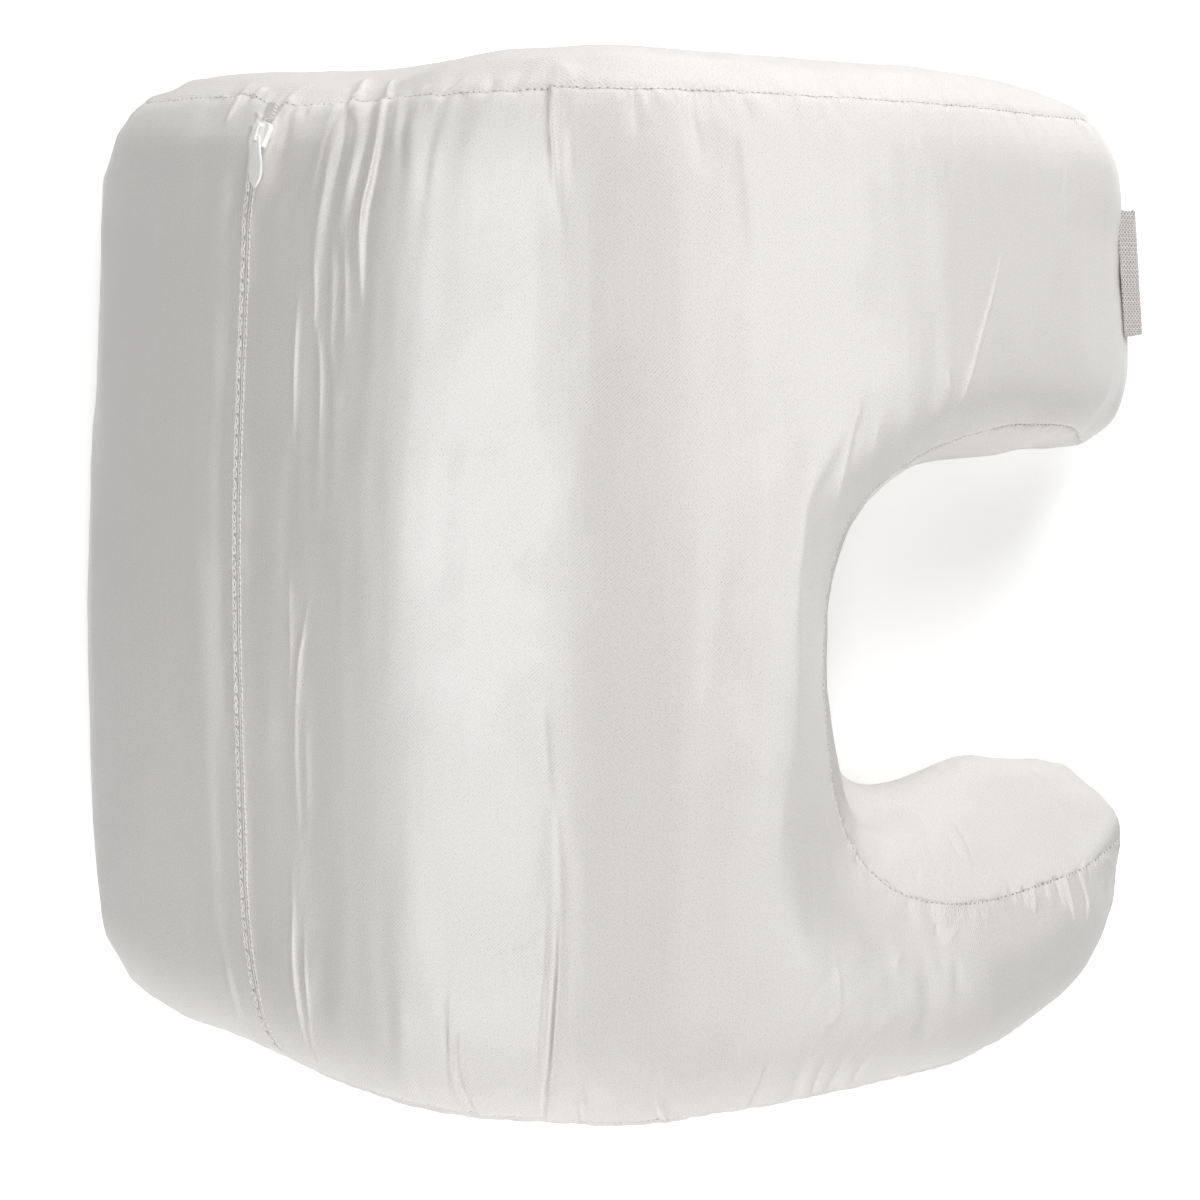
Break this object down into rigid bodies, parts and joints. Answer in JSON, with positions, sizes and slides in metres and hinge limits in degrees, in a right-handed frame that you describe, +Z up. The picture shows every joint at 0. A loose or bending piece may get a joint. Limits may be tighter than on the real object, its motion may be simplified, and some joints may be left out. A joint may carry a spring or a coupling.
{
  "type": "memory foam pillow with a face notch in a sewn satin cover",
  "caption": "Contoured foam pillow with a raised crest down its face and a C-shaped notch cut through one side, in a zipped satin cover, lying flat on its back.",
  "frame": {"origin": "under the middle of the pillow, on the surface that its flat back rests on", "axes": "+X across the pillow towards the open side of the notch, +Y along its length towards the thick arm and the zip's slider, +Z up out of its face"},
  "size_m": [0.3802, 0.352, 0.1616],
  "materials": {
    "satin": "off-white satin weave with a soft sheen and a fine diagonal twill, gathered at its seams",
    "zip_enamel": "off-white enamelled metal, smooth and slightly glossy",
    "zip_nylon": "off-white nylon coil, matt",
    "knit_elastic": "off-white knitted elastic with fine brown flecks in zigzag columns"
  },
  "bodies": {
    "root": {"pillow": "satin", "zip_slider": "zip_enamel", "zip_pull": "zip_enamel", "zip_coil": "zip_nylon", "elastic_tape": "knit_elastic"}
  },
  "joints": []
}
